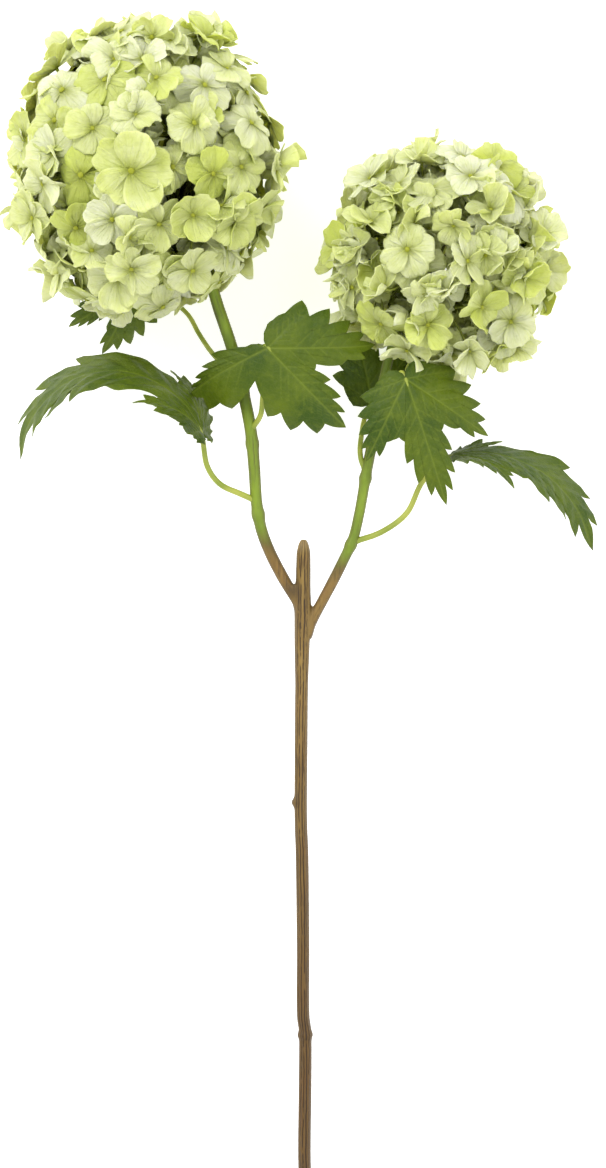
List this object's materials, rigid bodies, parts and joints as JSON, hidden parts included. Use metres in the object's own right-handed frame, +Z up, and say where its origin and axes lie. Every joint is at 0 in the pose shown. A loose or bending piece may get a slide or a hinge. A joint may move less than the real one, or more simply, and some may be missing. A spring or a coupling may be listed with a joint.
{
  "type": "artificial snowball viburnum spray",
  "caption": "Cut spray with a forked woody stem, lobed toothed leaves on thin stalks and globe heads of pale green five-petalled florets, lying down.",
  "frame": {"origin": "middle of the spray's outline seen from above, on the surface it lies on", "axes": "+Y along the stem towards the flower heads, +X to the right seen from above, +Z up from the surface"},
  "size_m": [0.2146, 0.479, 0.0977],
  "materials": {
    "bark": "moulded bark, brown with darker lengthwise streaks",
    "green_bark": "moulded green twig, brown towards the fork",
    "petiole": "thin yellow-green stalk",
    "leaf": "printed and pressed cloth leaf, satin",
    "petal": "pale yellow-green cloth, matte, with fine veins",
    "ray": "olive stalks inside the head"
  },
  "bodies": {
    "root": {"main_stem": "bark", "left_branch": "green_bark", "right_branch": "green_bark", "petiole_left_arching": "petiole", "petiole_left_low": "petiole", "petiole_middle": "petiole", "petiole_hanging": "petiole", "petiole_right_low": "petiole", "petiole_right_arching": "petiole", "leaf_left_arching": "leaf", "leaf_left_low": "leaf", "leaf_middle": "leaf", "leaf_hanging": "leaf", "leaf_right_low": "leaf", "leaf_right_arching": "leaf", "left_umbel": "ray", "right_umbel": "ray", "left_florets_01": "petal", "left_florets_02": "petal", "left_florets_03": "petal", "left_florets_04": "petal", "left_florets_05": "petal", "left_florets_06": "petal", "left_florets_07": "petal", "left_florets_08": "petal", "left_florets_09": "petal", "left_florets_10": "petal", "left_florets_11": "petal", "left_florets_12": "petal", "left_florets_13": "petal", "left_florets_14": "petal", "left_florets_15": "petal", "left_florets_16": "petal", "left_florets_17": "petal", "right_florets_01": "petal", "right_florets_02": "petal", "right_florets_03": "petal", "right_florets_04": "petal", "right_florets_05": "petal", "right_florets_06": "petal", "right_florets_07": "petal", "right_florets_08": "petal", "right_florets_09": "petal", "right_florets_10": "petal", "right_florets_11": "petal", "right_florets_12": "petal", "right_florets_13": "petal"}
  },
  "joints": []
}
